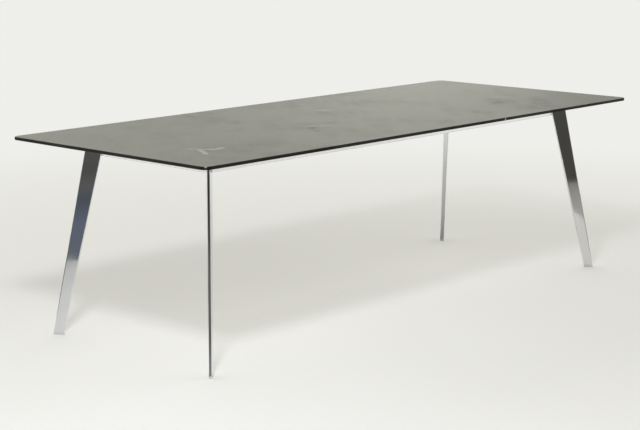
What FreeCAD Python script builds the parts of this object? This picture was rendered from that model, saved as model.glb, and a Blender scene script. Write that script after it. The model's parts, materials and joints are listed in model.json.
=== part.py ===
import FreeCAD, Part
import Sketcher
import collections
import math
import os

# Dining table: a thin board on a mitred rail frame, carried by four splayed, wedge-shaped blades.
# Millimetres, +Z up. The origin is on the floor under the centre of the top.
# X runs along the length and Y along the width, so front is -Y and left is -X.
# Each blade stands in the vertical plane of its corner's diagonal, and distances along that
# diagonal are counted inwards from the sharp corner that the top would have without its radius.

SIZES = {
    # The whole table: the top's plan and the height of its upper face
    "length": 2400,
    "width": 1000,
    "height": 720,
    # The board, with a rounded upper arris and an eased lower one
    "top_thickness": 11,
    "corner_radius": 30,
    "edge_round": 3,
    "edge_ease": 1,
    # The rails: rectangular tube, set in from the edge of the board
    "rail_inset": 218.5,
    "rail_height": 60,
    "rail_width": 20,
    "rail_wall": 2.5,
    "rail_edge_round": 1.5,
    "cross_rail_spacing": 660,
    # The blades: wedges from a narrow outer edge to a rounded back, with a tang as thick as that edge
    "blade_thickness": 9,
    "blade_back": 23,
    "blade_round": 3,
    "back_round": 3,
    # Where the foot stands on the diagonal, and the widths from outer edge to back
    "foot_outer": 125,
    "foot_width": 37,
    "head_width": 62,
    # How far the frame's corner sits in the back of the head, and the rounding of the tang's far end
    "corner_nest": 14,
    "tang_corner_round": 8,
    # The pads under the feet, each with a peg in the blade
    "glide_thickness": 7,
    "glide_lip": 1,
    "peg_diameter": 4,
    "peg_length": 14,
    # The bent plates that clamp the blades and carry the cross rails: hole places along their arms
    "cleat_plate": 5,
    "cleat_bend": 2,
    "cleat_margin": 5.5,
    "cleat_end": 14,
    "cleat_screw_at": 52,
    "cleat_screw_edge": 10,
    "cleat_bolt_at": 34,
    "cleat_bolt_pitch": 28,
    "cross_cleat_screw_at": 26,
    # The brackets that hold the board down
    "bracket_plate": 3,
    "bracket_bend": 2,
    "bracket_breadth": 30,
    "bracket_end": 12,
    "bracket_screw_drop": 18,
    "bracket_screw_reach": 21,
    "bracket_setback": 170,
    # Hexagon bolts, washers and nuts through the blades
    "bolt_diameter": 8,
    "bolt_head_rim": 2.5,
    "bolt_head_height": 5.3,
    "bolt_tail": 2,
    "washer_rim": 3.75,
    "washer_thickness": 1.6,
    "nut_height": 6.5,
    # Button-head screws
    "screw_diameter": 6,
    "screw_head_rim": 2.25,
    "screw_head_height": 3.3,
    "screw_head_edge": 1.3,
    "screw_crown_inset": 2,
    "screw_socket_flats": 4,
    "screw_socket_depth": 2,
    "screw_grip": 9,
    # Threaded sleeves in the rail walls and inserts in the board
    "rivet_nut_wall": 1.45,
    "rivet_nut_length": 11,
    "rivet_nut_collar_rim": 1.5,
    "rivet_nut_collar_height": 2.5,
    "insert_wall": 1.95,
    "insert_skin": 3,
    # Clearances: between butting ends, round bolts in plain holes, and round fitted sleeves and threads
    "joint_gap": 0.3,
    "hole_gap": 0.25,
    "fit_gap": 0.05,
}

LAYOUT = {
    # Levels
    "underside": "sizes.height - sizes.top_thickness",
    "rail_floor": "underside - sizes.rail_height",
    "rail_middle": "underside - sizes.rail_height / 2",
    # Half lengths of the mitred rails, at their outer and inner faces
    "mitre_setback": "(sizes.blade_thickness / 2 + sizes.joint_gap) * sqrt(2)",
    "long_outer": "sizes.length / 2 - sizes.rail_inset - mitre_setback",
    "long_inner": "long_outer - sizes.rail_width",
    "short_outer": "sizes.width / 2 - sizes.rail_inset - mitre_setback",
    "short_inner": "short_outer - sizes.rail_width",
    # Distances of the rails' inner faces from the table's centre lines
    "long_face": "sizes.width / 2 - sizes.rail_inset - sizes.rail_width",
    "short_face": "sizes.length / 2 - sizes.rail_inset - sizes.rail_width",
    "cross_face": "(sizes.cross_rail_spacing - sizes.rail_width) / 2",
    "cross_half": "long_face - sizes.joint_gap",
    # Where a rail's inner face meets a blade's face, along the rail and along the diagonal
    "long_apex": "short_face - sizes.blade_thickness / sqrt(2)",
    "short_apex": "long_face - sizes.blade_thickness / sqrt(2)",
    "apex": "(sizes.rail_inset + sizes.rail_width) * sqrt(2) + sizes.blade_thickness / 2",
    # The plates: lengths of their arms, and their holes above and below the rails' middle
    "cleat_height": "sizes.rail_height - 2 * sizes.cleat_margin",
    "cleat_screw_rise": "cleat_height / 2 - sizes.cleat_screw_edge",
    "cleat_rail_arm": "sizes.cleat_screw_at + sizes.cleat_end",
    "cleat_bolt_last": "sizes.cleat_bolt_at + sizes.cleat_bolt_pitch",
    "cleat_blade_arm": "cleat_bolt_last + sizes.cleat_end",
    "cross_cleat_arm": "sizes.cross_cleat_screw_at + sizes.cleat_end",
    "bracket_drop": "sizes.bracket_screw_drop + sizes.bracket_end",
    "bracket_reach": "sizes.bracket_screw_reach + sizes.bracket_end",
    # The blade's outline: the corner of the frame nests in a notch in the back of its head
    "blade_top": "underside - sizes.joint_gap",
    "frame_corner": "sizes.rail_inset * sqrt(2)",
    "notch": "frame_corner - sizes.joint_gap * sqrt(2)",
    "head_inner": "frame_corner + sizes.blade_thickness / 2 + sizes.corner_nest",
    "head_outer": "head_inner - sizes.head_width",
    "foot_inner": "sizes.foot_outer + sizes.foot_width",
    "foot_middle": "sizes.foot_outer + sizes.foot_width / 2",
    "inner_lean": "(head_inner - foot_inner) / (blade_top - sizes.glide_thickness)",
    "outer_lean": "(head_outer - sizes.foot_outer) / (blade_top - sizes.glide_thickness)",
    # How the blade thickens from its outer edge, in all and at the foot
    "thickening": "sizes.blade_back - sizes.blade_thickness",
    "foot_back": "sizes.blade_thickness + thickening * sizes.foot_width / sizes.head_width",
    "tang_floor": "rail_floor + sizes.cleat_margin",
    "tang_end": "apex + cleat_blade_arm",
    # Brackets along each kind of rail
    "long_bracket": "long_inner - sizes.bracket_setback",
    "short_bracket": "short_inner - sizes.bracket_setback",
    "cross_bracket": "cross_half - sizes.bracket_setback",
    # Fasteners, by radius except across the flats of the hexagons
    "bolt_hole": "sizes.bolt_diameter / 2 + sizes.hole_gap",
    "bolt_thread": "sizes.bolt_diameter / 2 + sizes.fit_gap",
    "bolt_flats": "sizes.bolt_diameter + 2 * sizes.bolt_head_rim",
    "bolt_seat": "sizes.blade_thickness / 2 + sizes.cleat_plate + sizes.washer_thickness",
    "bolt_reach": "2 * bolt_seat + sizes.nut_height + sizes.bolt_tail",
    "screw_hole": "sizes.screw_diameter / 2 + sizes.hole_gap",
    "screw_thread": "sizes.screw_diameter / 2 + sizes.fit_gap",
    "screw_head": "sizes.screw_diameter / 2 + sizes.screw_head_rim",
    "rivet_nut_sleeve": "screw_thread + sizes.rivet_nut_wall",
    "rivet_nut_collar": "rivet_nut_sleeve + sizes.rivet_nut_collar_rim",
    "insert_sleeve": "screw_thread + sizes.insert_wall",
    "insert_depth": "sizes.top_thickness - sizes.insert_skin",
    "insert_length": "insert_depth - sizes.joint_gap",
}

UP = FreeCAD.Vector(0, 0, 1)
SIDEWAYS = FreeCAD.Vector(0, 1, 0)
DIAGONAL = 45
SQUARE = 90
HALF_TURN = 180
FULL_TURN = 360
HEXAGON = 6
TOLERANCE = 1e-4


def both_ways(expression):
    return [f"-({expression})", expression]


# Signs of X and Y at each corner, in order round the table
CORNERS = {"front_left": (-1, -1), "front_right": (1, -1), "back_right": (1, 1), "back_left": (-1, 1)}
# Each side's name and sign, and the turn that faces the inner face of its rail to the middle
LONG_SIDES = (("front", -1, 0), ("back", 1, HALF_TURN))
SHORT_SIDES = (("left", -1, -SQUARE), ("right", 1, SQUARE))
# Places of the brackets along each kind of rail
LONG_BRACKETS = both_ways("layout.long_bracket") + ["0"]
SHORT_BRACKETS = both_ways("layout.short_bracket")
CROSS_BRACKETS = both_ways("layout.cross_bracket")
# Places of the bolts along the cleats, counted from where the rail meets the blade
LEG_BOLTS = ("sizes.cleat_bolt_at", "layout.cleat_bolt_last")

Plate = collections.namedtuple("Plate", "body hand angle")

doc = FreeCAD.newDocument("dining_table")
nodes = []


def add_sheet(name, cells):
    sheet = doc.addObject("Spreadsheet::Sheet", name)
    for row, (alias, content) in enumerate(cells.items(), 1):
        sheet.set(f"A{row}", alias)
        sheet.set(f"B{row}", content)
        sheet.setAlias(f"B{row}", alias)
    doc.recompute()
    return sheet


sizes = add_sheet("sizes", {alias: str(number) for alias, number in SIZES.items()})
layout = add_sheet("layout", {alias: "=" + formula for alias, formula in LAYOUT.items()})


def value(expression):
    """The number that an expression on the two sheets comes to."""
    return float(layout.evalExpression(expression))


# Bodies and where they stand


def new_body(label):
    body = doc.addObject("PartDesign::Body", label)
    body.Label = label
    return body


def new_node(label):
    body = new_body(label)
    nodes.append(body)
    return body


def about_z(degrees):
    return FreeCAD.Rotation(UP, degrees)


def place(body, x, y, z, rotation):
    """Stand a body at x, y, z, each an expression, turned by a rotation."""
    body.Placement = FreeCAD.Placement(FreeCAD.Vector(), rotation)
    for axis, expression in (("x", x), ("y", y), ("z", z)):
        body.setExpression(f"Placement.Base.{axis}", expression)


# Sketches


def sketch_on(body, role, turn=FreeCAD.Rotation()):
    """A sketch on one of the body's own origin planes, or on that plane turned about its origin."""
    sketch = body.newObject("Sketcher::SketchObject", f"{body.Label}_sketch")
    planes = {feature.Role: feature for feature in body.Origin.OriginFeatures}
    sketch.AttachmentSupport = [(planes[role], "")]
    sketch.MapMode = "FlatFace"
    sketch.AttachmentOffset = FreeCAD.Placement(FreeCAD.Vector(), turn)
    return sketch


def bind(sketch, constraint, expression):
    index = sketch.addConstraint(constraint)
    sketch.setExpression(f"Constraints[{index}]", expression)


def bind_point(sketch, geometry, point, x, y):
    bind(sketch, Sketcher.Constraint("DistanceX", -1, 1, geometry, point, value(x)), x)
    bind(sketch, Sketcher.Constraint("DistanceY", -1, 1, geometry, point, value(y)), y)


def draw_outline(sketch, corners):
    """A closed polygon, each corner a pair of expressions."""
    points = [FreeCAD.Vector(value(x), value(y)) for x, y in corners]
    count = len(points)
    for index, point in enumerate(points):
        sketch.addGeometry(Part.LineSegment(point, points[(index + 1) % count]))
    for index, (x, y) in enumerate(corners):
        sketch.addConstraint(Sketcher.Constraint("Coincident", index, 2, (index + 1) % count, 1))
        bind_point(sketch, index, 1, x, y)


def draw_circle(sketch, x, y, radius):
    centre = FreeCAD.Vector(value(x), value(y))
    index = sketch.addGeometry(Part.Circle(centre, UP, value(radius)))
    bind_point(sketch, index, 3, x, y)
    bind(sketch, Sketcher.Constraint("Radius", index, value(radius)), radius)


def draw_hexagon(sketch, flats):
    """A regular hexagon about the origin, by the distance across its flats."""
    spoke = f"{flats} / sqrt(3)"
    turns = [FULL_TURN / HEXAGON * index for index in range(HEXAGON)]
    draw_outline(sketch, [(f"{spoke} * cos({turn})", f"{spoke} * sin({turn})") for turn in turns])


# Features


def pad(body, sketch, length, symmetric=False, reverse=False):
    feature = body.newObject("PartDesign::Pad", f"{body.Label}_pad")
    feature.Profile = sketch
    feature.SideType = "Symmetric" if symmetric else "One side"
    feature.Reversed = reverse
    feature.setExpression("Length", length)
    doc.recompute()
    return feature


def pocket(body, sketch, depth):
    """Cut to the same depth on both sides of the sketch, and see that something went."""
    before = body.Shape.Volume
    feature = body.newObject("PartDesign::Pocket", f"{body.Label}_pocket")
    feature.Profile = sketch
    feature.SideType = "Symmetric"
    feature.setExpression("Length", f"2 * ({depth})")
    doc.recompute()
    if body.Shape.Volume > before - TOLERANCE:
        raise RuntimeError(f"{feature.Label} cuts nothing")
    return feature


def lean(body, feature, run):
    """Make a pad lean towards x by a run for each unit that it rises."""
    feature.UseCustomVector = True
    feature.AlongSketchNormal = True
    feature.Direction = FreeCAD.Vector(value(run), 0, 1)
    feature.setExpression("Direction.x", run)
    doc.recompute()


def revolve(body, sketch):
    """Turn a half section about the sketch's upright axis."""
    feature = body.newObject("PartDesign::Revolution", f"{body.Label}_turned")
    feature.Profile = sketch
    feature.ReferenceAxis = (sketch, ["V_Axis"])
    feature.Angle = FULL_TURN
    doc.recompute()


def dress(body, kind, base, chosen, size_name, size):
    names = [f"Edge{index}" for index, edge in enumerate(base.Shape.Edges, 1) if chosen(edge)]
    feature = body.newObject(f"PartDesign::{kind}", f"{body.Label}_{kind.lower()}")
    feature.Base = (base, names)
    feature.setExpression(size_name, size)
    doc.recompute()
    return feature


def fillet(body, base, chosen, radius):
    """Round the edges of base that the test chosen picks."""
    return dress(body, "Fillet", base, chosen, "Radius", radius)


def chamfer(body, base, chosen, size):
    """Bevel the edges of base that the test chosen picks."""
    return dress(body, "Chamfer", base, chosen, "Size", size)


def runs_along(edge, axis):
    """True for a straight edge parallel to the x, y or z axis."""
    box = edge.BoundBox
    spans = {"x": box.XLength, "y": box.YLength, "z": box.ZLength}
    return all(span < TOLERANCE for name, span in spans.items() if name != axis)


def lies_level(edge, z):
    """True for an edge that lies all at one level, the expression z."""
    box = edge.BoundBox
    return box.ZLength < TOLERANCE and abs(box.ZMin - value(z)) < TOLERANCE


def stands_at(edge, x, y):
    """True for an edge parallel to the z axis at the expressions x, y."""
    here = edge.Vertexes[0].Point
    near = math.hypot(here.x - value(x), here.y - value(y)) < TOLERANCE
    return near and runs_along(edge, "z")


# The board


def insert_points():
    """Where the brackets' screws enter the board from below."""
    points = []
    for y in both_ways("layout.long_face - sizes.bracket_screw_reach"):
        points += [(x, y) for x in LONG_BRACKETS]
    for x in both_ways("layout.short_face - sizes.bracket_screw_reach"):
        points += [(x, y) for y in SHORT_BRACKETS]
    for x in both_ways("layout.cross_face - sizes.bracket_screw_reach"):
        points += [(x, y) for y in CROSS_BRACKETS]
    return points


def table_top():
    body = new_node("table_top")
    place(body, "0", "0", "layout.underside", about_z(0))
    plan = sketch_on(body, "XY_Plane")
    signs = CORNERS.values()
    draw_outline(plan, [(f"{sx} * sizes.length / 2", f"{sy} * sizes.width / 2") for sx, sy in signs])
    board = pad(body, plan, "sizes.top_thickness")
    board = fillet(body, board, lambda edge: runs_along(edge, "z"), "sizes.corner_radius")
    board = fillet(body, board, lambda edge: lies_level(edge, "sizes.top_thickness"), "sizes.edge_round")
    chamfer(body, board, lambda edge: lies_level(edge, "0"), "sizes.edge_ease")
    holes = sketch_on(body, "XY_Plane")
    for x, y in insert_points():
        draw_circle(holes, x, y, "layout.insert_sleeve + sizes.fit_gap")
    pocket(body, holes, "layout.insert_depth")


# The rails


def rail(label, outer, inner, holes):
    """A tube along x, with its inner face on y = 0, its lower face on z = 0 and holes in its inner face."""
    body = new_node(label)
    plan = sketch_on(body, "XY_Plane")
    outer_face = "-sizes.rail_width"
    draw_outline(plan, [(f"-{outer}", outer_face), (outer, outer_face), (inner, "0"), (f"-{inner}", "0")])
    bar = pad(body, plan, "sizes.rail_height")
    fillet(body, bar, lambda edge: runs_along(edge, "x"), "sizes.rail_edge_round")
    section = sketch_on(body, "YZ_Plane")
    near = "-sizes.rail_wall"
    far = "sizes.rail_wall - sizes.rail_width"
    floor = "sizes.rail_wall"
    roof = "sizes.rail_height - sizes.rail_wall"
    draw_outline(section, [(far, floor), (near, floor), (near, roof), (far, roof)])
    pocket(body, section, f"2 * {outer}")
    sleeves = sketch_on(body, "XZ_Plane")
    for x, z in holes:
        draw_circle(sleeves, x, z, "layout.rivet_nut_sleeve + sizes.fit_gap")
    pocket(body, sleeves, "2 * sizes.rail_wall")
    return body


def cleat_holes(xs):
    """Two holes for a cleat's screws at each x, one above the other."""
    middle = "sizes.rail_height / 2"
    return [(x, f"{middle} {sign} layout.cleat_screw_rise") for x in xs for sign in "+-"]


def bracket_holes(xs):
    return [(x, "sizes.rail_height - sizes.bracket_screw_drop") for x in xs]


def long_rails():
    at_corners = both_ways("layout.long_apex - sizes.cleat_screw_at")
    at_cross_rails = both_ways("layout.cross_face - sizes.cross_cleat_screw_at")
    holes = cleat_holes(at_corners + at_cross_rails) + bracket_holes(LONG_BRACKETS)
    for side, sign, turn in LONG_SIDES:
        body = rail(f"long_rail_{side}", "layout.long_outer", "layout.long_inner", holes)
        place(body, "0", f"{sign} * layout.long_face", "layout.rail_floor", about_z(turn))


def short_rails():
    at_corners = both_ways("layout.short_apex - sizes.cleat_screw_at")
    holes = cleat_holes(at_corners) + bracket_holes(SHORT_BRACKETS)
    for side, sign, turn in SHORT_SIDES:
        body = rail(f"short_rail_{side}", "layout.short_outer", "layout.short_inner", holes)
        place(body, f"{sign} * layout.short_face", "0", "layout.rail_floor", about_z(turn))


def cross_rails():
    at_ends = both_ways("layout.long_face - sizes.cross_cleat_screw_at")
    holes = cleat_holes(at_ends) + bracket_holes(CROSS_BRACKETS)
    for side, sign, turn in SHORT_SIDES:
        body = rail(f"cross_rail_{side}", "layout.cross_half", "layout.cross_half", holes)
        place(body, f"{sign} * layout.cross_face", "0", "layout.rail_floor", about_z(turn))


# The blades and their pads, drawn with x along the diagonal


def place_on_diagonal(body, corner):
    sx, sy = CORNERS[corner]
    inwards = math.degrees(math.atan2(-sy, -sx))
    place(body, f"{sx} * sizes.length / 2", f"{sy} * sizes.width / 2", "0", about_z(inwards))


def draw_wedge(sketch, outer, inner, front, back):
    """A section as thick as front at its outer end and as back at its inner end."""
    fronts = both_ways(f"({front}) / 2")
    backs = both_ways(f"({back}) / 2")
    draw_outline(sketch, [(outer, fronts[0]), (inner, backs[0]), (inner, backs[1]), (outer, fronts[1])])


def lies_at(edge, x):
    """True for an edge whose lowest end is at the expression x."""
    lowest = min((vertex.Point for vertex in edge.Vertexes), key=lambda point: point.z)
    return abs(lowest.x - value(x)) < TOLERANCE


def leg(corner):
    """A tapered wedge up to the board, with a notch for the frame's corner and a tang between its rails."""
    body = new_node(f"leg_{corner}")
    place_on_diagonal(body, corner)
    section = sketch_on(body, "XY_Plane")
    section.setExpression("AttachmentOffset.Base.z", "sizes.glide_thickness")
    spare = "sizes.foot_outer + 2 * sizes.head_width"
    spare_back = "sizes.blade_thickness + 2 * layout.thickening"
    draw_wedge(section, "sizes.foot_outer", spare, "sizes.blade_thickness", spare_back)
    lean(body, pad(body, section, "layout.blade_top - sizes.glide_thickness"), "layout.outer_lean")
    inside = sketch_on(body, "XZ_Plane")
    spare = "layout.head_inner + 2 * sizes.head_width"
    draw_outline(inside, [
        ("layout.foot_inner", "sizes.glide_thickness"),
        (spare, "sizes.glide_thickness"),
        (spare, "layout.blade_top"),
        ("layout.head_inner", "layout.blade_top"),
    ])
    blade = pocket(body, inside, spare_back)

    def climbs_from(edge, x):
        return edge.BoundBox.ZLength > TOLERANCE and lies_at(edge, x)

    blade = fillet(body, blade, lambda edge: climbs_from(edge, "layout.foot_inner"), "sizes.back_round")
    fillet(body, blade, lambda edge: climbs_from(edge, "sizes.foot_outer"), "sizes.blade_round")
    corner_plan = sketch_on(body, "XY_Plane")
    corner_plan.setExpression("AttachmentOffset.Base.z", "layout.underside")
    spread = both_ways("2 * sizes.head_width")
    far = "layout.notch + 2 * sizes.head_width"
    draw_outline(corner_plan, [("layout.notch", "0"), (far, spread[0]), (far, spread[1])])
    pocket(body, corner_plan, "sizes.rail_height + sizes.joint_gap")
    side = sketch_on(body, "XZ_Plane")
    root = "layout.notch - sizes.blade_thickness / 2"
    draw_outline(side, [
        (root, "layout.tang_floor"),
        ("layout.tang_end", "layout.tang_floor"),
        ("layout.tang_end", "layout.blade_top"),
        (root, "layout.blade_top"),
    ])
    tang = pad(body, side, "sizes.blade_thickness", symmetric=True)

    def ends_tang(edge):
        return runs_along(edge, "y") and lies_at(edge, "layout.tang_end")

    fillet(body, tang, ends_tang, "sizes.tang_corner_round")
    bolts = sketch_on(body, "XZ_Plane")
    for along in LEG_BOLTS:
        draw_circle(bolts, f"layout.apex + {along}", "layout.rail_middle", "layout.bolt_hole")
    pocket(body, bolts, "sizes.blade_thickness")
    peg = sketch_on(body, "XY_Plane")
    draw_circle(peg, "layout.foot_middle", "0", "sizes.peg_diameter / 2 + sizes.fit_gap")
    pocket(body, peg, "sizes.glide_thickness + sizes.peg_length + sizes.joint_gap")
    return body


def glide(corner):
    """A pad a little larger than the foot, with a peg that fills the hole in the blade."""
    body = new_node(f"glide_{corner}")
    place_on_diagonal(body, corner)
    plan = sketch_on(body, "XY_Plane")
    outer = "sizes.foot_outer - sizes.glide_lip"
    inner = "layout.foot_inner + sizes.glide_lip"
    lips = "2 * sizes.glide_lip"
    draw_wedge(plan, outer, inner, f"sizes.blade_thickness + {lips}", f"layout.foot_back + {lips}")
    plate = pad(body, plan, "sizes.glide_thickness")

    def stands_on(edge, x):
        return runs_along(edge, "z") and lies_at(edge, x)

    plate = fillet(body, plate, lambda edge: stands_on(edge, inner), "sizes.back_round + sizes.glide_lip")
    fillet(body, plate, lambda edge: stands_on(edge, outer), "sizes.blade_round + sizes.glide_lip")
    peg = sketch_on(body, "XY_Plane")
    draw_circle(peg, "layout.foot_middle", "0", "sizes.peg_diameter / 2")
    pad(body, peg, "sizes.glide_thickness + sizes.peg_length")


# Bent plates: corner cleats, cross cleats and top brackets


def bent_plate(label, hand, angle, arms, holes, plate, bend, breadth):
    """Two arms from a bend at the origin, the first along x and the second turned from it by angle.

    The plate lies between the arms' outer faces, on the left of the first arm for hand 1 and on its
    right for hand -1. The pairs in arms and holes belong to the first and second arm, and each hole
    is its distance from the bend, its offset along z and its radius.
    """
    body = new_node(label)
    first, second = arms
    cosine = f"cos({angle})"
    sine = f"sin({angle})"
    inside = (f"{plate} / tan({angle / 2})", f"{hand} * {plate}")
    section = sketch_on(body, "XY_Plane")
    draw_outline(section, [
        ("0", "0"),
        (first, "0"),
        (first, f"{hand} * {plate}"),
        inside,
        (f"{second} * {cosine} + {plate} * {sine}", f"{hand} * ({second} * {sine} - {plate} * {cosine})"),
        (f"{second} * {cosine}", f"{hand} * {second} * {sine}"),
    ])
    solid = pad(body, section, breadth, symmetric=True)
    solid = fillet(body, solid, lambda edge: stands_at(edge, "0", "0"), f"{plate} + {bend}")
    fillet(body, solid, lambda edge: stands_at(edge, *inside), bend)
    for turn, arm_holes in zip((0, hand * angle), holes):
        face = sketch_on(body, "XZ_Plane", FreeCAD.Rotation(SIDEWAYS, turn))
        for along, across, radius in arm_holes:
            draw_circle(face, along, across, radius)
        pocket(body, face, plate)
    return Plate(body, hand, angle)


def cleat(label, hand, angle, arms, holes):
    plate, bend, breadth = "sizes.cleat_plate", "sizes.cleat_bend", "layout.cleat_height"
    return bent_plate(label, hand, angle, arms, holes, plate, bend, breadth)


def cleat_screw_holes(along):
    """Two screw holes in a cleat's arm, one above the other."""
    return [(along, across, "layout.screw_hole") for across in both_ways("layout.cleat_screw_rise")]


def corner_cleats(corner):
    """The two cleats that clamp a blade: one on the long rail and one on the short rail."""
    sx, sy = CORNERS[corner]
    hand = sx * sy
    arms = ("layout.cleat_rail_arm", "layout.cleat_blade_arm")
    bolts = [(along, "0", "layout.bolt_hole") for along in LEG_BOLTS]
    holes = (cleat_screw_holes("sizes.cleat_screw_at"), bolts)
    on_long = cleat(f"corner_cleat_{corner}_long", hand, DIAGONAL, arms, holes)
    x, y = f"{sx} * layout.long_apex", f"{sy} * layout.long_face"
    place(on_long.body, x, y, "layout.rail_middle", about_z(SQUARE + sx * SQUARE))
    on_short = cleat(f"corner_cleat_{corner}_short", -hand, DIAGONAL, arms, holes)
    x, y = f"{sx} * layout.short_face", f"{sy} * layout.short_apex"
    place(on_short.body, x, y, "layout.rail_middle", about_z(-sy * SQUARE))
    return [on_long, on_short]


def cross_cleat(corner):
    """Holds the end of a cross rail to a long rail, on the side nearer the middle of the table."""
    sx, sy = CORNERS[corner]
    arms = ("layout.cross_cleat_arm", "layout.cross_cleat_arm")
    holes = (cleat_screw_holes("sizes.cross_cleat_screw_at"), cleat_screw_holes("sizes.cross_cleat_screw_at"))
    plate = cleat(f"cross_cleat_{corner}", sx * sy, SQUARE, arms, holes)
    x, y = f"{sx} * layout.cross_face", f"{sy} * layout.long_face"
    place(plate.body, x, y, "layout.rail_middle", about_z(SQUARE + sx * SQUARE))
    return plate


BRACKET_RAIL_HOLES = [("sizes.bracket_screw_drop", "0", "layout.screw_hole")]
BRACKET_BOARD_HOLES = [("sizes.bracket_screw_reach", "0", "layout.screw_hole")]


def top_bracket(label, x, y, turn):
    """The first arm hangs on a rail's inner face and the second reaches inwards under the board."""
    arms = ("layout.bracket_drop", "layout.bracket_reach")
    holes = (BRACKET_RAIL_HOLES, BRACKET_BOARD_HOLES)
    plate, bend, breadth = "sizes.bracket_plate", "sizes.bracket_bend", "sizes.bracket_breadth"
    bracket = bent_plate(label, 1, SQUARE, arms, holes, plate, bend, breadth)
    hanging = FreeCAD.Rotation(SIDEWAYS, SQUARE)
    place(bracket.body, x, y, "layout.underside", about_z(turn).multiply(hanging))
    return bracket


def top_brackets():
    brackets = []
    for side, sign, turn in LONG_SIDES:
        for number, x in enumerate(LONG_BRACKETS, 1):
            label = f"top_bracket_{side}_{number}"
            brackets.append(top_bracket(label, x, f"{sign} * layout.long_face", turn))
    for side, sign, turn in SHORT_SIDES:
        for number, y in enumerate(SHORT_BRACKETS, 1):
            label = f"top_bracket_{side}_{number}"
            brackets.append(top_bracket(label, f"{sign} * layout.short_face", y, turn))
        for number, y in enumerate(CROSS_BRACKETS, 1):
            label = f"top_bracket_cross_{side}_{number}"
            brackets.append(top_bracket(label, f"{sign} * layout.cross_face", y, turn))
    return brackets


# Patterns of the fasteners, each with its axis on z, its head or mouth upwards and its seat at z = 0


def screw_pattern(label, length):
    """A button-head screw with a hexagon socket."""
    body = new_body(label)
    half = sketch_on(body, "XZ_Plane")
    shank = "sizes.screw_diameter / 2"
    tip = f"-({length})"
    draw_outline(half, [
        ("0", tip),
        (shank, tip),
        (shank, "0"),
        ("layout.screw_head", "0"),
        ("layout.screw_head", "sizes.screw_head_edge"),
        ("layout.screw_head - sizes.screw_crown_inset", "sizes.screw_head_height"),
        ("0", "sizes.screw_head_height"),
    ])
    revolve(body, half)
    socket = sketch_on(body, "XY_Plane")
    socket.setExpression("AttachmentOffset.Base.z", "sizes.screw_head_height")
    draw_hexagon(socket, "sizes.screw_socket_flats")
    pocket(body, socket, "sizes.screw_socket_depth")
    return body


def bolt_pattern():
    body = new_body("bolt")
    head = sketch_on(body, "XY_Plane")
    draw_hexagon(head, "layout.bolt_flats")
    pad(body, head, "sizes.bolt_head_height")
    shank = sketch_on(body, "XY_Plane")
    draw_circle(shank, "0", "0", "sizes.bolt_diameter / 2")
    pad(body, shank, "layout.bolt_reach", reverse=True)
    return body


def nut_pattern():
    body = new_body("nut")
    section = sketch_on(body, "XY_Plane")
    draw_hexagon(section, "layout.bolt_flats")
    draw_circle(section, "0", "0", "layout.bolt_thread")
    pad(body, section, "sizes.nut_height")
    return body


def ring_pattern(label, outer, bore, length):
    """A plain ring that reaches down from its seat."""
    body = new_body(label)
    section = sketch_on(body, "XY_Plane")
    draw_circle(section, "0", "0", outer)
    draw_circle(section, "0", "0", bore)
    pad(body, section, length, reverse=True)
    return body


def rivet_nut_pattern():
    """A sleeve, flush with the rail's face, whose collar is drawn up behind the wall."""
    body = new_body("rivet_nut")
    half = sketch_on(body, "XZ_Plane")
    back_of_wall = "-sizes.rail_wall"
    back_of_collar = "-sizes.rail_wall - sizes.rivet_nut_collar_height"
    draw_outline(half, [
        ("layout.screw_thread", "0"),
        ("layout.rivet_nut_sleeve", "0"),
        ("layout.rivet_nut_sleeve", back_of_wall),
        ("layout.rivet_nut_collar", back_of_wall),
        ("layout.rivet_nut_collar", back_of_collar),
        ("layout.rivet_nut_sleeve", back_of_collar),
        ("layout.rivet_nut_sleeve", "-sizes.rivet_nut_length"),
        ("layout.screw_thread", "-sizes.rivet_nut_length"),
    ])
    revolve(body, half)
    return body


# The fasteners, one node of separate solids for each kind


def group(label, pattern, seats):
    node = doc.addObject("Part::Feature", label)
    solids = []
    for seat in seats:
        solid = pattern.Shape.copy()
        solid.Placement = seat
        solids.append(solid)
    node.Shape = Part.makeCompound(solids)
    node.Placement = FreeCAD.Placement()
    nodes.append(node)


def seat_at(body, position, direction):
    """A seat on a body, at a place and with a direction in the body's own frame."""
    return body.Placement.multiply(FreeCAD.Placement(position, FreeCAD.Rotation(UP, direction)))


def blade_seats(legs, lift):
    """Seats at the bolt holes of every blade, on the side of y that the sign of lift gives."""
    direction = FreeCAD.Vector(0, lift, 0)
    seats = []
    for body in legs:
        for along in LEG_BOLTS:
            position = FreeCAD.Vector(value(f"layout.apex + {along}"), lift, value("layout.rail_middle"))
            seats.append(seat_at(body, position, direction))
    return seats


def arm_seats(body, turn, side, holes, lift):
    """Seats at the holes of an arm, raised off its outer face towards its left (1) or right (-1)."""
    arm = about_z(turn)
    direction = arm.multVec(FreeCAD.Vector(0, side, 0))
    seats = []
    for along, across, _ in holes:
        position = arm.multVec(FreeCAD.Vector(value(along), side * lift, value(across)))
        seats.append(seat_at(body, position, direction))
    return seats


def first_arm_seats(plates, holes, lift):
    return [seat for plate in plates for seat in arm_seats(plate.body, 0, plate.hand, holes, lift)]


def second_arm_seats(plates, holes, lift):
    seats = []
    for plate in plates:
        seats += arm_seats(plate.body, plate.hand * plate.angle, -plate.hand, holes, lift)
    return seats


def leg_fasteners(legs):
    seat = value("layout.bolt_seat")
    washer_outer = "layout.bolt_hole + sizes.washer_rim"
    washer = ring_pattern("washer", washer_outer, "layout.bolt_hole", "sizes.washer_thickness")
    group("leg_bolts", bolt_pattern(), blade_seats(legs, seat))
    group("leg_washers", washer, blade_seats(legs, seat) + blade_seats(legs, -seat))
    group("leg_nuts", nut_pattern(), blade_seats(legs, -seat))


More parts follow.
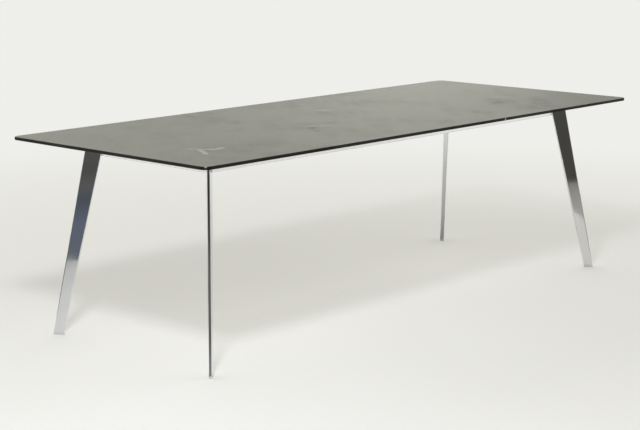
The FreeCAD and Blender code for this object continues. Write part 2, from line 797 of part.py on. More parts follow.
def cleat_seats(at_corners, at_cross_rails, lift):
    """Seats of the screws that hold the cleats to the rails."""
    cross_holes = cleat_screw_holes("sizes.cross_cleat_screw_at")
    seats = first_arm_seats(at_corners, cleat_screw_holes("sizes.cleat_screw_at"), lift)
    seats += first_arm_seats(at_cross_rails, cross_holes, lift)
    seats += second_arm_seats(at_cross_rails, cross_holes, lift)
    return seats


def plate_fasteners(at_corners, at_cross_rails, brackets):
    cleat_screw = screw_pattern("cleat_screw", "sizes.cleat_plate + sizes.screw_grip")
    group("cleat_screws", cleat_screw, cleat_seats(at_corners, at_cross_rails, value("sizes.cleat_plate")))
    bracket_plate = value("sizes.bracket_plate")
    bracket_screw = screw_pattern("bracket_screw", "sizes.bracket_plate + sizes.screw_grip")
    group("bracket_screws", bracket_screw, first_arm_seats(brackets, BRACKET_RAIL_HOLES, bracket_plate))
    rail_seats = cleat_seats(at_corners, at_cross_rails, 0) + first_arm_seats(brackets, BRACKET_RAIL_HOLES, 0)
    group("rivet_nuts", rivet_nut_pattern(), rail_seats)
    top_screw = screw_pattern("top_screw", "sizes.bracket_plate + layout.insert_length")
    group("top_screws", top_screw, second_arm_seats(brackets, BRACKET_BOARD_HOLES, bracket_plate))
    insert = ring_pattern("insert", "layout.insert_sleeve", "layout.screw_thread", "layout.insert_length")
    group("top_inserts", insert, second_arm_seats(brackets, BRACKET_BOARD_HOLES, 0))


def check_and_write():
    doc.recompute()
    failed = [thing.Label for thing in doc.Objects if {"Invalid", "Error"} & set(thing.State)]
    if failed:
        raise RuntimeError(f"failed: {failed}")
    for node in nodes:
        if node.Shape.isNull() or not node.Shape.isValid():
            raise RuntimeError(f"{node.Label} has no valid shape")
    os.makedirs("parts", exist_ok=True)
    for node in nodes:
        node.Shape.exportStep(os.path.join("parts", f"{node.Label}.step"))
    print(f"{len(nodes)} nodes, {sum(len(node.Shape.Solids) for node in nodes)} solids")


table_top()
long_rails()
short_rails()
cross_rails()
legs = [leg(corner) for corner in CORNERS]
for corner in CORNERS:
    glide(corner)
cleats_at_corners = [plate for corner in CORNERS for plate in corner_cleats(corner)]
cleats_at_cross_rails = [cross_cleat(corner) for corner in CORNERS]
brackets = top_brackets()
doc.recompute()
leg_fasteners(legs)
plate_fasteners(cleats_at_corners, cleats_at_cross_rails, brackets)
check_and_write()
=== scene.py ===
import json
import math

import bpy
from mathutils import Matrix, Vector

# A long dining table: dark satin board, light satin rails, mirror-polished blades.
# Metres, in the part's own frame: the floor is z = 0, X runs along the table and Y across it.

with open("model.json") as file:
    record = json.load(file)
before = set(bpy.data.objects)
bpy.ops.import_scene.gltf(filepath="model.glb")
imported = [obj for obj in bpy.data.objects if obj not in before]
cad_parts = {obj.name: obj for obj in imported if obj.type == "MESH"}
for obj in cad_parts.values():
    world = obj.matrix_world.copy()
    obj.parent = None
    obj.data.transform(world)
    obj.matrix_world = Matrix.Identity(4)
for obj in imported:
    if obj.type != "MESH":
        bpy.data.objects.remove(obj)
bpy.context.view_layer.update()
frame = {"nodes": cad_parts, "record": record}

# The camera, as solved from the outline of the table in the picture
CAMERA_PLACE = Vector((-4.5668, -4.1293, 1.5354))
CAMERA_YAW = math.radians(46.965)
CAMERA_PITCH = math.radians(11.081)
CAMERA_ROLL = math.radians(-0.178)
SENSOR_WIDTH = 36.0
FOCAL_PIXELS = 1612.0
IMAGE_WIDTH = 640

# The camera's level directions, along which places in the studio are counted
AHEAD = Vector((math.sin(CAMERA_YAW), math.cos(CAMERA_YAW), 0))
RIGHT = Vector((math.cos(CAMERA_YAW), -math.sin(CAMERA_YAW), 0))

# One soft lamp, high up and out past the front left corner
KEY_PLACE = Vector((-2.65, -1.70, 3.0))
KEY_AIM = Vector((0.6, 1.5, 0.0))
KEY_SIZE = 0.6
KEY_POWER = 52.5
KEY_COLOUR = (0.92, 0.94, 1.0)

# The sky that lights the table: a low band, stronger behind the table than in front of it, and a middle band.
# Each band's edges are sines of the height where it starts, is full, begins to fall and ends.
SKY_COLOUR = (1.0, 0.985, 0.92, 1.0)
SKY_LOW = 3.75
SKY_LEAN = 0.8
SKY_MIDDLE = 1.04
LOW_BAND = (0.19, 0.23, 0.40, 0.45)
MIDDLE_BAND = (0.40, 0.45, 0.68, 0.74)

# The even pale ground that the camera sees behind the table
PALE = (0.86, 0.86, 0.83, 1.0)

# What gloss shows of that ground: an even level, a rise in a patch low down behind the far corner, and
# a duller part to the right
MIRROR_COLOUR = (1.0, 0.99, 0.885, 1.0)
MIRROR_LEVEL = 0.595
MIRROR_RISE = 0.3
MIRROR_SIDE = 0.74
PATCH_BEARING = math.radians(2.8)
PATCH_HEIGHT = math.radians(1.0)
PATCH_INNER = math.radians(2.0)
PATCH_OUTER = math.radians(7.2)
SIDE_START = math.radians(6.5)
SIDE_END = math.radians(10.2)

# The floor: its reach, its colour, how much darker its fibres are, and the distances from a centre over
# which it runs out into the even pale ground
FLOOR_REACH = 120.0
FLOOR_COLOUR = (0.86, 0.86, 0.85)
FIBRE_SHADE = 0.99
FADE_CENTRE = (-0.8, -0.6, 0.0)
FADE_SPAN = (2.5, 5.5)

# How far the camera sees, well past the floor's corners
VIEW_REACH = 10 * FLOOR_REACH


# Building node trees

# The span in which most values of a noise lie
NOISE_SPAN = (0.3, 0.7)
UNIT_SPAN = (0.0, 1.0)

# The sockets of a colour mix, by position because their names repeat
MIX_FACTOR = 0
MIX_FIRST = 6
MIX_SECOND = 7
MIX_RESULT = 2


def shaded(colour, shade):
    return tuple(part * shade for part in colour)


def opaque(colour):
    return (*colour, 1)


class Tree:
    """Adds nodes to one node tree. A value given for a socket is either a constant or another socket."""

    def __init__(self, tree):
        self.tree = tree
        tree.nodes.clear()

    def add(self, kind, inputs=None, **settings):
        node = self.tree.nodes.new(kind)
        for name, setting in settings.items():
            setattr(node, name, setting)
        for name, source in (inputs or {}).items():
            self.feed(node.inputs[name], source)
        return node

    def feed(self, socket, source):
        if isinstance(source, bpy.types.NodeSocket):
            self.tree.links.new(source, socket)
        else:
            socket.default_value = source

    def math(self, operation, *terms):
        node = self.add("ShaderNodeMath", operation=operation)
        for socket, term in zip(node.inputs, terms):
            self.feed(socket, term)
        return node.outputs["Value"]

    def measure(self, operation, vector, fixed):
        """A number from a vector and a fixed one, such as their distance or dot product."""
        return self.add("ShaderNodeVectorMath", {0: vector, 1: fixed}, operation=operation).outputs["Value"]

    def parts(self, vector):
        return self.add("ShaderNodeSeparateXYZ", {"Vector": vector}).outputs

    def rescale(self, value, span, target, curve="LINEAR"):
        """Carry a value from one span over to another, held at its ends."""
        inputs = {
            "Value": value,
            "From Min": span[0],
            "From Max": span[1],
            "To Min": target[0],
            "To Max": target[1],
        }
        return self.add("ShaderNodeMapRange", inputs, interpolation_type=curve).outputs["Result"]

    def ramp(self, factor, stops):
        """A colour that runs through stops, each a position and a linear colour."""
        node = self.add("ShaderNodeValToRGB", {"Fac": factor})
        elements = node.color_ramp.elements
        for element, (position, colour) in ((elements[0], stops[0]), (elements[-1], stops[-1])):
            element.position = position
            element.color = opaque(colour)
        for position, colour in stops[1:-1]:
            elements.new(position).color = opaque(colour)
        return node.outputs["Color"]

    def tint(self, noise, colours, span=NOISE_SPAN):
        """A colour between two, by a noise."""
        return self.ramp(noise, list(zip(span, colours)))

    def blend(self, factor, first, second):
        node = self.add("ShaderNodeMix", data_type="RGBA")
        self.feed(node.inputs[MIX_FACTOR], factor)
        self.feed(node.inputs[MIX_FIRST], first)
        self.feed(node.inputs[MIX_SECOND], second)
        return node.outputs[MIX_RESULT]

    def place(self):
        """The shaded point, in metres of the part's frame."""
        return self.add("ShaderNodeTexCoord").outputs["Object"]

    def stretch(self, vector, scale, turn=0.0):
        """Turn the point about z, then scale it along the axes."""
        turned = self.add("ShaderNodeMapping", {"Vector": vector, "Rotation": (0, 0, turn)}).outputs["Vector"]
        return self.add("ShaderNodeMapping", {"Vector": turned, "Scale": scale}).outputs["Vector"]

    def noise(self, vector, scale, detail=4.0, roughness=0.5):
        inputs = {"Vector": vector, "Scale": scale, "Detail": detail, "Roughness": roughness}
        return self.add("ShaderNodeTexNoise", inputs).outputs["Fac"]

    def bump(self, height, strength, distance=0.0001):
        inputs = {"Height": height, "Strength": strength, "Distance": distance}
        return self.add("ShaderNodeBump", inputs).outputs["Normal"]


def new_material(name):
    material = bpy.data.materials.new(name)
    material.use_nodes = True
    return material, Tree(material.node_tree)


def principled(tree, **inputs):
    """Close a material with one Principled shader, its inputs named with underscores for spaces."""
    sockets = {name.replace("_", " "): source for name, source in inputs.items()}
    shader = tree.add("ShaderNodeBsdfPrincipled", sockets)
    tree.add("ShaderNodeOutputMaterial", {"Surface": shader.outputs["BSDF"]})


# The board

# The face and the black core at the edge, each from its darkest to its lightest colour. The core takes over
# as the surface tips from level to upright, by the upward part of its normal.
FACE_COLOURS = ((0.034, 0.033, 0.025), (0.054, 0.052, 0.040))
CORE_COLOURS = ((0.008, 0.008, 0.007), (0.016, 0.015, 0.013))
CORE_TO_FACE = (0.80, 0.97)
CORE_GLOSS = 0.2

# Clouds of haze on the face, and streaks left by wiping: their direction in plan and what they change
HAZE_SPAN = (0.36, 0.64)
CLOUD_GLOSS = (0.28, 0.72)
CLOUD_ROUGHNESS = (0.11, 0.16)
WIPE_BEARING = math.radians(50)
WIPE_STRETCH = (1.6, 5.0, 1.0)
WIPE_SPAN = (0.35, 0.65)
WIPE_ROUGHNESS = (-0.02, 0.02)
WIPE_GLOSS = (-0.2, 0.2)

# Marks on the board: ends in plan, half width and how much lighter (or, below zero, darker) they are
MARKS = [
    ((-0.986, -0.183), (-0.953, -0.213), 0.005, 1.0),
    ((-0.969, -0.225), (-1.014, -0.306), 0.008, 1.0),
    ((-0.948, -0.231), (-0.932, -0.243), 0.008, 1.0),
    ((-0.927, -0.259), (-0.883, -0.242), 0.010, 0.7),
    ((-1.067, -0.241), (-1.054, -0.255), 0.008, 0.4),
    ((-0.316, -0.101), (-0.248, -0.153), 0.010, 0.4),
    ((0.043, 0.178), (0.066, 0.151), 0.010, 0.8),
    ((-0.334, -0.033), (-0.191, -0.112), 0.009, -0.6),
    ((-0.351, -0.133), (-0.275, -0.179), 0.009, -0.6),
]

# How a fine noise breaks the marks up, and what the lighter ones (scuffs) and the darker ones (rubs) change
RAGGED_SPAN = (0.35, 0.6)
RAGGED_STRENGTH = (0.4, 1.0)
MARK_GLOSS = 0.5
SCUFF_COLOUR = (0.085, 0.085, 0.079, 1)
SCUFF_HAZE = 0.22
RUB_COLOUR = (0.012, 0.012, 0.011, 1)

# A chip that shows light on the board's edge, and a painted highlight, a glint on the top arris of the front
# left corner: places, radii and strengths, and the solid share of the radius
CHIPS_AND_GLINT = [((0.354, -0.5, 0.7145), 0.0035, 0.8), ((-1.1900, -0.4900, 0.7195), 0.006, 0.3)]
CHIP_AND_GLINT_COLOUR = (0.8, 0.8, 0.77, 1)
CHIP_AND_GLINT_SOLID = 0.5


# One light spot, solid to half its radius, used for the chip and for the painted highlight at the corner
def chip_and_glint(tree, place, centre, radius, strength):
    distance = tree.measure("DISTANCE", place, centre)
    return tree.rescale(distance, (CHIP_AND_GLINT_SOLID * radius, radius), (strength, 0.0), "SMOOTHSTEP")


def mark(tree, place, start, end, half_width, strength):
    """A soft stroke between two points in plan, as a signed strength."""
    start, end = Vector(start), Vector(end)
    along = (end - start).normalized()
    parts = tree.parts(place)
    dx = tree.math("SUBTRACT", parts["X"], start.x)
    dy = tree.math("SUBTRACT", parts["Y"], start.y)
    travel = tree.math("ADD", tree.math("MULTIPLY", dx, along.x), tree.math("MULTIPLY", dy, along.y))
    held = tree.math("MINIMUM", tree.math("MAXIMUM", travel, 0.0), (end - start).length)
    past = tree.math("SUBTRACT", travel, held)
    aside = tree.math("SUBTRACT", tree.math("MULTIPLY", dy, along.x), tree.math("MULTIPLY", dx, along.y))
    squares = tree.math("ADD", tree.math("POWER", past, 2.0), tree.math("POWER", aside, 2.0))
    distance = tree.math("SQRT", squares)
    return tree.rescale(distance, (0.0, 2 * half_width), (strength, 0.0), "SMOOTHSTEP")


def all_marks(tree, place):
    """The sum of the strokes, broken up by a fine noise."""
    total = 0.0
    for start, end, half_width, strength in MARKS:
        total = tree.math("ADD", total, mark(tree, place, start, end, half_width, strength))
    ragged = tree.noise(place, scale=160.0, roughness=0.7)
    return tree.math("MULTIPLY", total, tree.rescale(ragged, RAGGED_SPAN, RAGGED_STRENGTH))


def laminate():
    """Dark satin face with haze, wiped streaks and scuffs, over a black core that shows at the edge."""
    material, tree = new_material("dark_satin_laminate")
    place = tree.place()
    clouds = tree.noise(place, scale=3.2, detail=6.0, roughness=0.6)
    wiped = tree.stretch(place, WIPE_STRETCH, -WIPE_BEARING)
    wipes = tree.noise(wiped, scale=2.0, detail=5.0, roughness=0.6)
    speckle = tree.noise(place, scale=900.0, detail=3.0)
    grain = tree.noise(place, scale=1400.0, detail=2.0)
    marks = all_marks(tree, place)
    scuffs = tree.math("MAXIMUM", marks, 0.0)
    rubs = tree.math("MAXIMUM", tree.math("MULTIPLY", marks, -1.0), 0.0)

    upward = tree.parts(tree.add("ShaderNodeNewGeometry").outputs["Normal"])["Z"]
    flatness = tree.rescale(tree.math("ABSOLUTE", upward), CORE_TO_FACE, UNIT_SPAN)
    colour = tree.blend(flatness, tree.tint(speckle, CORE_COLOURS), tree.tint(clouds, FACE_COLOURS))
    colour = tree.blend(scuffs, colour, SCUFF_COLOUR)
    colour = tree.blend(rubs, colour, RUB_COLOUR)
    # A chip on the front edge, and a painted highlight (glint) on the front left corner's arris
    for centre, radius, strength in CHIPS_AND_GLINT:
        colour = tree.blend(chip_and_glint(tree, place, centre, radius, strength), colour, CHIP_AND_GLINT_COLOUR)

    cloudy = tree.rescale(clouds, NOISE_SPAN, CLOUD_ROUGHNESS)
    roughness = tree.math("ADD", cloudy, tree.rescale(wipes, WIPE_SPAN, WIPE_ROUGHNESS))
    hazy = tree.rescale(clouds, HAZE_SPAN, CLOUD_GLOSS)
    smudges = tree.math("ADD", hazy, tree.rescale(wipes, HAZE_SPAN, WIPE_GLOSS))
    smudges = tree.math("ADD", smudges, tree.math("MULTIPLY", marks, MARK_GLOSS))
    gloss = tree.math("MULTIPLY", smudges, tree.rescale(flatness, UNIT_SPAN, (CORE_GLOSS, 1.0)))
    principled(
        tree,
        Base_Color=colour,
        Roughness=roughness,
        Specular_IOR_Level=gloss,
        Sheen_Weight=tree.math("MULTIPLY", scuffs, SCUFF_HAZE),
        Normal=tree.bump(grain, strength=0.12, distance=0.0002),
    )
    return material


# Metals

# Fine lines per metre along X, Y and Z: upright ones on the blades, lengthwise ones on the rails
BLADE_LINES = (420.0, 420.0, 6.0)
RAIL_LINES = (3.0, 3.0, 900.0)

# The blades' colour and roughness, from clean to smudged, and what the lines add
BLADE_COLOURS = ((0.76, 0.765, 0.77), (0.72, 0.725, 0.73))
BLADE_COLOUR_SPAN = (0.35, 0.7)
BLADE_ROUGHNESS = (0.03, 0.08)
BLADE_SMUDGE_SPAN = (0.52, 0.72)
BLADE_LINE_ROUGHNESS = (0.0, 0.02)

# The rails' colour and roughness, by clouds, and what the lines add
RAIL_COLOURS = ((0.88, 0.885, 0.885), (0.93, 0.93, 0.925))
RAIL_ROUGHNESS = (0.15, 0.20)
RAIL_LINE_ROUGHNESS = (-0.03, 0.03)

# Zinc: a mottle from dull to bright, a warm tinge in places, and how light each kind of piece is
ZINC_DULL = (0.46, 0.465, 0.47)
ZINC_BRIGHT = (0.64, 0.645, 0.64)
ZINC_WARM = (0.60, 0.585, 0.53)
ZINC_WARM_SPAN = (0.45, 0.75)
ZINC_WARM_SHARE = (0.0, 0.5)
ZINC_ROUGHNESS = (0.3, 0.46)
PLATE_SHADE = 1.0
FASTENER_SHADE = 1.12

# Brass, from its darkest to its lightest colour
BRASS_COLOURS = ((0.50, 0.35, 0.14), (0.72, 0.55, 0.26))
BRASS_ROUGHNESS = (0.28, 0.42)


def polished_steel():
    """Mirror polish with faint lengthwise polishing lines and handling smudges."""
    material, tree = new_material("polished_blade")
    place = tree.place()
    lines = tree.noise(tree.stretch(place, BLADE_LINES), scale=1.0, detail=3.0)
    smudges = tree.noise(place, scale=9.0, detail=5.0, roughness=0.6)
    smudged = tree.rescale(smudges, BLADE_SMUDGE_SPAN, BLADE_ROUGHNESS)
    principled(
        tree,
        Base_Color=tree.tint(smudges, BLADE_COLOURS, BLADE_COLOUR_SPAN),
        Metallic=1.0,
        Roughness=tree.math("ADD", smudged, tree.rescale(lines, NOISE_SPAN, BLADE_LINE_ROUGHNESS)),
        Normal=tree.bump(lines, strength=0.02),
    )
    return material


def satin_aluminium():
    """Anodised tube with extrusion lines along its length."""
    material, tree = new_material("satin_rail")
    place = tree.place()
    lines = tree.noise(tree.stretch(place, RAIL_LINES), scale=1.0, detail=3.0)
    clouds = tree.noise(place, scale=14.0)
    cloudy = tree.rescale(clouds, NOISE_SPAN, RAIL_ROUGHNESS)
    principled(
        tree,
        Base_Color=tree.tint(clouds, RAIL_COLOURS),
        Metallic=1.0,
        Roughness=tree.math("ADD", cloudy, tree.rescale(lines, NOISE_SPAN, RAIL_LINE_ROUGHNESS)),
        Normal=tree.bump(lines, strength=0.05),
    )
    return material


def zinc(name, shade):
    """Zinc-plated steel: a mottled grey with a faint warm passivation."""
    material, tree = new_material(name)
    place = tree.place()
    mottle = tree.noise(place, scale=160.0, roughness=0.6)
    clouds = tree.noise(place, scale=28.0, detail=3.0)
    plain = tree.tint(mottle, (shaded(ZINC_DULL, shade), shaded(ZINC_BRIGHT, shade)))
    warmth = tree.rescale(clouds, ZINC_WARM_SPAN, ZINC_WARM_SHARE)
    principled(
        tree,
        Base_Color=tree.blend(warmth, plain, opaque(shaded(ZINC_WARM, shade))),
        Metallic=1.0,
        Roughness=tree.rescale(mottle, NOISE_SPAN, ZINC_ROUGHNESS),
        Normal=tree.bump(mottle, strength=0.08),
    )
    return material


def brass():
    """Turned brass with a little tarnish."""
    material, tree = new_material("turned_brass")
    tarnish = tree.noise(tree.place(), scale=220.0)
    principled(
        tree,
        Base_Color=tree.tint(tarnish, BRASS_COLOURS),
        Metallic=1.0,
        Roughness=tree.rescale(tarnish, NOISE_SPAN, BRASS_ROUGHNESS),
        Normal=tree.bump(tarnish, strength=0.05),
    )
    return material


# Plastic

# The pads, and a darker colour on them, which fades out just above the floor
PAD_COLOURS = ((0.58, 0.58, 0.565), (0.68, 0.68, 0.66))
PAD_ROUGHNESS = (0.4, 0.55)
LOW_DARK_COLOUR = (0.2, 0.19, 0.17, 1)
LOW_DARK_HEIGHTS = (0.0, 0.003)
LOW_DARK_SHARE = (0.4, 0.0)


def pad_plastic():
    """Light grey moulded plastic, a little darker where it meets the floor."""
    material, tree = new_material("grey_pad")
    place = tree.place()
    speckle = tree.noise(place, scale=700.0, detail=3.0)
    low_dark = tree.rescale(tree.parts(place)["Z"], LOW_DARK_HEIGHTS, LOW_DARK_SHARE)
    principled(
        tree,
        Base_Color=tree.blend(low_dark, tree.tint(speckle, PAD_COLOURS), LOW_DARK_COLOUR),
        Roughness=tree.rescale(speckle, NOISE_SPAN, PAD_ROUGHNESS),
        Normal=tree.bump(speckle, strength=0.15),
    )
    return material


def dress_nodes():
    """Give each piece the material of its slot in the record."""
    of_slot = {
        "top": laminate(),
        "legs": polished_steel(),
        "rails": satin_aluminium(),
        "plates": zinc("zinc_plate", PLATE_SHADE),
        "fasteners": zinc("zinc_fastener", FASTENER_SHADE),
        "inserts": brass(),
        "glides": pad_plastic(),
    }
    for row in frame["record"]["subparts"]:
        mesh = frame["nodes"][row["node"]].data
        mesh.materials.clear()
        mesh.materials.append(of_slot[row["material_slot"]])


# The stage and its floor


def stage_piece(name, corners, material):
    """One four-cornered face that belongs to the stage."""
    mesh = bpy.data.meshes.new(name)
    mesh.from_pydata([tuple(corner) for corner in corners], [], [(0, 1, 2, 3)])
    mesh.materials.append(material)
    thing = bpy.data.objects.new(name, mesh)
    bpy.context.scene.collection.objects.link(thing)
    return thing


def floor_material():
    """A pale floor that takes shadows near the table and runs out into an even pale ground."""
    material, tree = new_material("pale_floor")
    place = tree.place()
    distance = tree.measure("DISTANCE", place, FADE_CENTRE)
    fade = tree.rescale(distance, FADE_SPAN, UNIT_SPAN, "SMOOTHSTEP")
    fibre = tree.noise(place, scale=40.0)
    colour = tree.tint(fibre, (shaded(FLOOR_COLOUR, FIBRE_SHADE), FLOOR_COLOUR))
    near = tree.add("ShaderNodeBsdfDiffuse", {"Color": colour}).outputs["BSDF"]
    far = tree.add("ShaderNodeEmission", {"Color": PALE, "Strength": 1.0}).outputs["Emission"]
    surface = tree.add("ShaderNodeMixShader", {0: fade, 1: near, 2: far})
    tree.add("ShaderNodeOutputMaterial", {"Surface": surface.outputs["Shader"]})
    material.cycles.emission_sampling = "NONE"
    return material


def build_floor():
    reach = FLOOR_REACH
    corners = [(-reach, -reach, 0), (reach, -reach, 0), (reach, reach, 0), (-reach, reach, 0)]
    stage_piece("floor", corners, floor_material())


# The studio round the pale sweep, which only gloss shows

# Places are counted to the right of the camera and ahead of it. The sweep ends at a front edge, at a slanting
# right edge and at dark drapes, and a wall stands behind the camera.
# Each piece glows and is no lamp: its tones are painted light and shade of the studio round the sweep, as
# gloss reflects it.
STUDIO_LEFT, STUDIO_RIGHT = -12.0, 12.0
STUDIO_FRONT, STUDIO_BACK = -2.0, 9.0
STUDIO_LIFT = 0.002
SWEEP_FRONT = 4.15
SWEEP_RIGHT_NEAR, SWEEP_RIGHT_FAR = 2.02, 1.25
BESIDE_RIGHT = 2.6
BESIDE_BACK = 7.5
SHADED_LEFT, SHADED_RIGHT = -2.4, -0.9
SHADED_BACK = 5.75
FOOT_LEFT, FOOT_RIGHT = 0.45, 0.85
FOOT_FRONT, FOOT_BACK = 6.2, 7.35
WALL_HEIGHT = 4.0

# Dark drapes to the left and right, with a gap in the left one, and low drapes close to the table
DRAPE_LEFT, DRAPE_RIGHT = -2.65, 3.2
DRAPE_HEIGHT = 0.9
GAP_FRONT, GAP_BACK = 4.8, 6.0
NEAR_LEFT, NEAR_RIGHT = -1.75, 1.95
NEAR_LEFT_FRONT, NEAR_LEFT_BACK = 3.6, 6.5
NEAR_RIGHT_FRONT, NEAR_RIGHT_BACK = 5.9, 8.0
NEAR_LEFT_HEIGHT, NEAR_RIGHT_HEIGHT = 0.25, 0.3

# Each drape's distance to the right, its front and back ends and its height
DRAPES = {
    "studio_drape_left": (DRAPE_LEFT, STUDIO_FRONT, GAP_FRONT, DRAPE_HEIGHT),
    "studio_drape_left_far": (DRAPE_LEFT, GAP_BACK, STUDIO_BACK, DRAPE_HEIGHT),
    "studio_drape_right": (DRAPE_RIGHT, STUDIO_FRONT, SWEEP_FRONT, DRAPE_HEIGHT),
    "studio_drape_left_near": (NEAR_LEFT, NEAR_LEFT_FRONT, NEAR_LEFT_BACK, NEAR_LEFT_HEIGHT),
    "studio_drape_right_near": (NEAR_RIGHT, NEAR_RIGHT_FRONT, NEAR_RIGHT_BACK, NEAR_RIGHT_HEIGHT),
}

# Tones of the strips along X and of the walls along Z: the span in metres, and stops as shares of it
FRONT_SPAN = (-6.2, 0.0)
FRONT_STOPS = [
    (0.0, (0.105, 0.103, 0.098)),
    (0.11, (0.085, 0.085, 0.083)),
    (0.23, (0.120, 0.118, 0.115)),
    (0.32, (0.087, 0.102, 0.124)),
    (0.45, (0.138, 0.155, 0.200)),
    (0.63, (0.140, 0.160, 0.195)),
    (0.69, (0.073, 0.070, 0.062)),
]
BESIDE_SPAN = (0.0, 0.5)
BESIDE_STOPS = [
    (0.0, (0.26, 0.257, 0.235)),
    (0.18, (0.30, 0.296, 0.272)),
    (0.38, (0.345, 0.341, 0.313)),
    (1.0, (0.44, 0.435, 0.395)),
]
SHADED_SPAN = (-2.4, -1.2)
SHADED_STOPS = [
    (0.04, (0.565, 0.570, 0.550)),
    (0.13, (0.648, 0.652, 0.630)),
    (0.47, (0.722, 0.725, 0.700)),
    (1.0, (0.812, 0.815, 0.790)),
]
# A patch on the floor before the back right blade that only gloss shows: painted shade in the blade's
# reflection, darker towards its foot
FOOT_SHADE_SPAN = (0.59, 1.06)
FOOT_SHADE_STOPS = [
    (0.0, (0.80, 0.80, 0.77)),
    (0.28, (0.60, 0.60, 0.575)),
    (0.77, (0.44, 0.44, 0.42)),
    (1.0, (0.30, 0.30, 0.285)),
]
WALL_SPAN = (0.8, 2.4)
WALL_STOPS = [
    (0.04, (0.25, 0.25, 0.24)),
    (0.14, (0.140, 0.140, 0.135)),
    (0.43, (0.150, 0.150, 0.145)),
    (0.73, (0.055, 0.055, 0.052)),
    (0.9, (0.039, 0.040, 0.037)),
]
DRAPE_STOPS = [(0.0, (0.072, 0.069, 0.063)), (1.0, (0.066, 0.064, 0.058))]


def across(lateral, depth, height=0.0):
    """A point given by its distance to the right of the camera, ahead of it and above the floor."""
    point = CAMERA_PLACE + RIGHT * lateral + AHEAD * depth
    point.z = height
    return point


def glow_material(name, stops, span, axis):
    """An even glow that changes along one axis of the part's frame."""
    material, tree = new_material(name)
    colour = tree.ramp(tree.rescale(tree.parts(tree.place())[axis], span, UNIT_SPAN), stops)
    glow = tree.add("ShaderNodeEmission", {"Color": colour, "Strength": 1.0})
    tree.add("ShaderNodeOutputMaterial", {"Surface": glow.outputs["Emission"]})
    material.cycles.emission_sampling = "NONE"
    return material


def mirrored_piece(name, corners, material):
    """A piece of the stage that shows only in reflections."""
    thing = stage_piece(name, corners, material)
    thing.visible_camera = False
    thing.visible_diffuse = False
    thing.visible_shadow = False
    thing.visible_transmission = False
    thing.visible_volume_scatter = False


def strip(name, corners, stops, span):
    """A flat piece just over the floor, its corners as distances to the right and ahead."""
    points = [across(right, ahead, STUDIO_LIFT) for right, ahead in corners]
    mirrored_piece(name, points, glow_material(name, stops, span, "X"))


def oblong(left, right, front, back):
    return [(left, front), (right, front), (right, back), (left, back)]


def wall(name, start, end, height, material):
    """An upright piece between two places on the floor."""
    points = [across(*start), across(*end), across(*end, height), across(*start, height)]
    mirrored_piece(name, points, material)


def build_studio():
    front = oblong(STUDIO_LEFT, STUDIO_RIGHT, STUDIO_FRONT, SWEEP_FRONT)
    strip("studio_front", front, FRONT_STOPS, FRONT_SPAN)
    beside = [
        (SWEEP_RIGHT_NEAR, SWEEP_FRONT),
        (BESIDE_RIGHT, SWEEP_FRONT),
        (BESIDE_RIGHT, BESIDE_BACK),
        (SWEEP_RIGHT_FAR, BESIDE_BACK),
    ]
    strip("studio_beside", beside, BESIDE_STOPS, BESIDE_SPAN)
    shade = oblong(SHADED_LEFT, SHADED_RIGHT, SWEEP_FRONT, SHADED_BACK)
    strip("studio_shaded", shade, SHADED_STOPS, SHADED_SPAN)
    # The painted shade that the back right blade reflects near its foot
    foot_shade = oblong(FOOT_LEFT, FOOT_RIGHT, FOOT_FRONT, FOOT_BACK)
    strip("studio_foot_shade", foot_shade, FOOT_SHADE_STOPS, FOOT_SHADE_SPAN)
    grey = glow_material("studio_wall", WALL_STOPS, WALL_SPAN, "Z")
    wall("studio_wall", (STUDIO_LEFT, STUDIO_FRONT), (STUDIO_RIGHT, STUDIO_FRONT), WALL_HEIGHT, grey)
    dark = glow_material("studio_drape", DRAPE_STOPS, (0.0, DRAPE_HEIGHT), "Z")
    for name, (lateral, front_end, back_end, height) in DRAPES.items():
        wall(name, (lateral, front_end), (lateral, back_end), height, dark)


# Light and camera


def sky_band(tree, height, edges, strength):
    start, full, falling, end = edges
    rise = tree.rescale(height, (start, full), (0.0, strength))
    return tree.math("MULTIPLY", rise, tree.rescale(height, (falling, end), (1.0, 0.0)))


def bearing_direction(bearing, height):
    """A direction by its angle to the right of the camera's bearing and its angle over the horizon."""
    heading = CAMERA_YAW + bearing
    return (math.sin(heading) * math.cos(height), math.cos(heading) * math.cos(height), math.sin(height))


def lighting_strength(tree, direction):
    """The sky's strength where it lights the table and the floor."""
    height = tree.parts(direction)["Z"]
    behind = tree.measure("DOT_PRODUCT", direction, AHEAD)
    leaning = tree.rescale(behind, (-1.0, 1.0), (1.0 - SKY_LEAN, 1.0 + SKY_LEAN))
    low = tree.math("MULTIPLY", leaning, sky_band(tree, height, LOW_BAND, SKY_LOW))
    return tree.math("ADD", low, sky_band(tree, height, MIDDLE_BAND, SKY_MIDDLE))


def mirrored_strength(tree, direction):
    """The sky's strength where gloss shows it."""
    nearness = tree.measure("DOT_PRODUCT", direction, bearing_direction(PATCH_BEARING, PATCH_HEIGHT))
    patch_span = (math.cos(PATCH_OUTER), math.cos(PATCH_INNER))
    patch = tree.rescale(nearness, patch_span, (MIRROR_LEVEL, MIRROR_LEVEL + MIRROR_RISE), "SMOOTHSTEP")
    aside = tree.measure("DOT_PRODUCT", direction, RIGHT)
    side_span = (math.sin(SIDE_START), math.sin(SIDE_END))
    return tree.math("MULTIPLY", patch, tree.rescale(aside, side_span, (1.0, MIRROR_SIDE), "SMOOTHSTEP"))


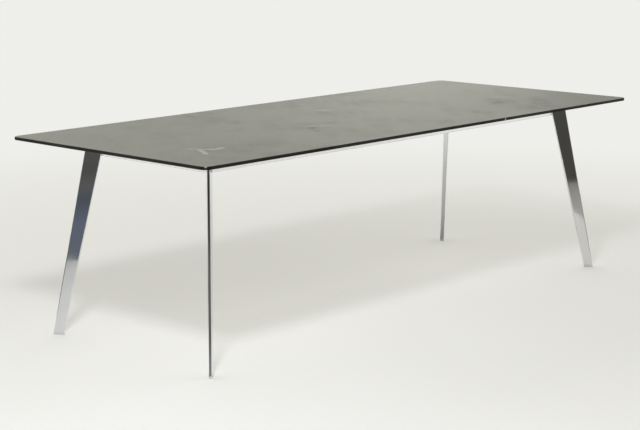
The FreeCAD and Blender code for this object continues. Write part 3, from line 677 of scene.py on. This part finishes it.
def build_sky():
    """Lights the table from low down more than from above, and shows itself as an even pale ground."""
    world = bpy.data.worlds.new("sky")
    world.use_nodes = True
    bpy.context.scene.world = world
    tree = Tree(world.node_tree)
    direction = tree.add("ShaderNodeTexCoord").outputs["Generated"]

    def background(colour, strength):
        return tree.add("ShaderNodeBackground", {"Color": colour, "Strength": strength}).outputs["Background"]

    lighting = background(SKY_COLOUR, lighting_strength(tree, direction))
    shown = background(PALE, 1.0)
    mirrored = background(MIRROR_COLOUR, mirrored_strength(tree, direction))
    rays = tree.add("ShaderNodeLightPath").outputs
    seen = tree.math("MAXIMUM", rays["Is Camera Ray"], rays["Is Transmission Ray"])
    plain = tree.add("ShaderNodeMixShader", {0: seen, 1: lighting, 2: shown}).outputs["Shader"]
    surface = tree.add("ShaderNodeMixShader", {0: rays["Is Glossy Ray"], 1: plain, 2: mirrored})
    tree.add("ShaderNodeOutputWorld", {"Surface": surface.outputs["Shader"]})


def build_lamp():
    lamp = bpy.data.lights.new("key", "AREA")
    lamp.shape = "DISK"
    lamp.size = KEY_SIZE
    lamp.energy = KEY_POWER
    lamp.color = KEY_COLOUR
    thing = bpy.data.objects.new("key", lamp)
    thing.location = KEY_PLACE
    thing.rotation_mode = "QUATERNION"
    thing.rotation_quaternion = (KEY_AIM - KEY_PLACE).to_track_quat("-Z", "Y")
    bpy.context.scene.collection.objects.link(thing)


def build_camera():
    view = Vector(bearing_direction(0.0, -CAMERA_PITCH))
    above = RIGHT.cross(view)
    image_right = math.cos(CAMERA_ROLL) * RIGHT + math.sin(CAMERA_ROLL) * above
    image_up = math.cos(CAMERA_ROLL) * above - math.sin(CAMERA_ROLL) * RIGHT
    camera = bpy.data.cameras.new("camera")
    camera.sensor_width = SENSOR_WIDTH
    camera.lens = FOCAL_PIXELS * SENSOR_WIDTH / IMAGE_WIDTH
    camera.clip_end = VIEW_REACH
    thing = bpy.data.objects.new("camera", camera)
    axes = Matrix((image_right, image_up, -view)).transposed().to_4x4()
    thing.matrix_world = Matrix.Translation(CAMERA_PLACE) @ axes
    bpy.context.scene.collection.objects.link(thing)
    bpy.context.scene.camera = thing


dress_nodes()
build_floor()
build_studio()
build_sky()
build_lamp()
build_camera()
bpy.context.scene.view_settings.view_transform = "Standard"
